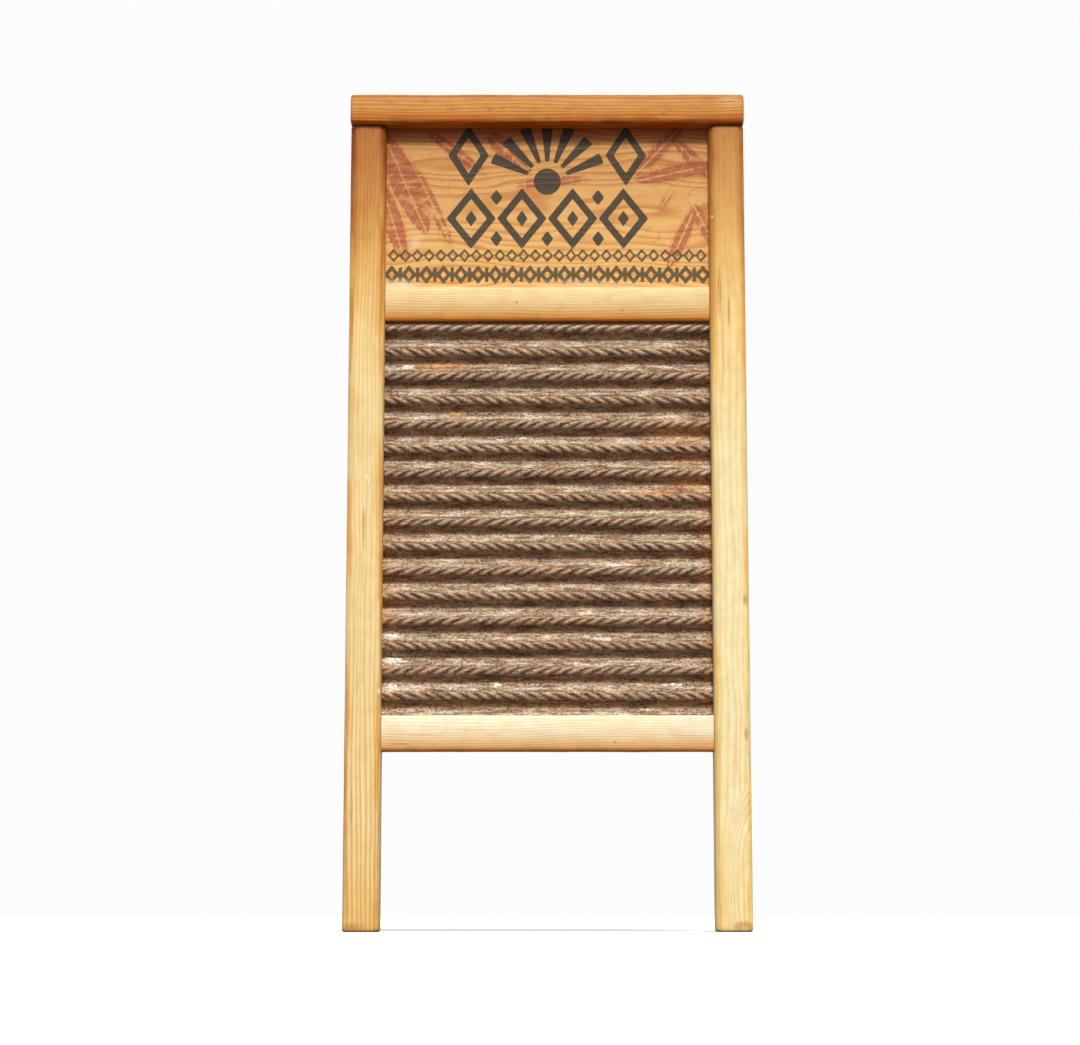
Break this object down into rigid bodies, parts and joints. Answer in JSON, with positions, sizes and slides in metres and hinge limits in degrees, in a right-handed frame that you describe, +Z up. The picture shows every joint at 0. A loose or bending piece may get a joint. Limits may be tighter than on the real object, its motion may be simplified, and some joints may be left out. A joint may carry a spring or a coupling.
{
  "type": "washboard",
  "caption": "Hand-laundry washboard: a wooden frame on leg ends holding a thin crest panel above a corrugated metal rubbing sheet.",
  "frame": {"origin": "centre of the bounding box at the level of the feet", "axes": "+Z up the length of the board from the feet to the top rail, +X across the width, -Y out of the front face"},
  "size_m": [0.217, 0.027, 0.4572],
  "materials": {
    "leg_wood": "pale straw softwood, worn bare, dry and matte",
    "rail_wood": "honey-brown aged softwood, worn satin",
    "crossbar_wood": "cream to honey softwood, worn smooth",
    "crest_wood": "tan softwood with a faded two-colour decorative print",
    "sheet_metal": "tinned steel, aged grey-brown, dirty valleys and light rust",
    "nail_steel": "dark oxidised wire-nail steel"
  },
  "bodies": {
    "root": {"left_leg": "leg_wood", "right_leg": "leg_wood", "top_rail": "rail_wood", "upper_crossbar": "crossbar_wood", "lower_crossbar": "crossbar_wood", "crest_panel": "crest_wood", "rubbing_sheet": "sheet_metal", "top_rail_nails": "nail_steel", "upper_crossbar_nails": "nail_steel", "lower_crossbar_nails": "nail_steel"}
  },
  "joints": []
}
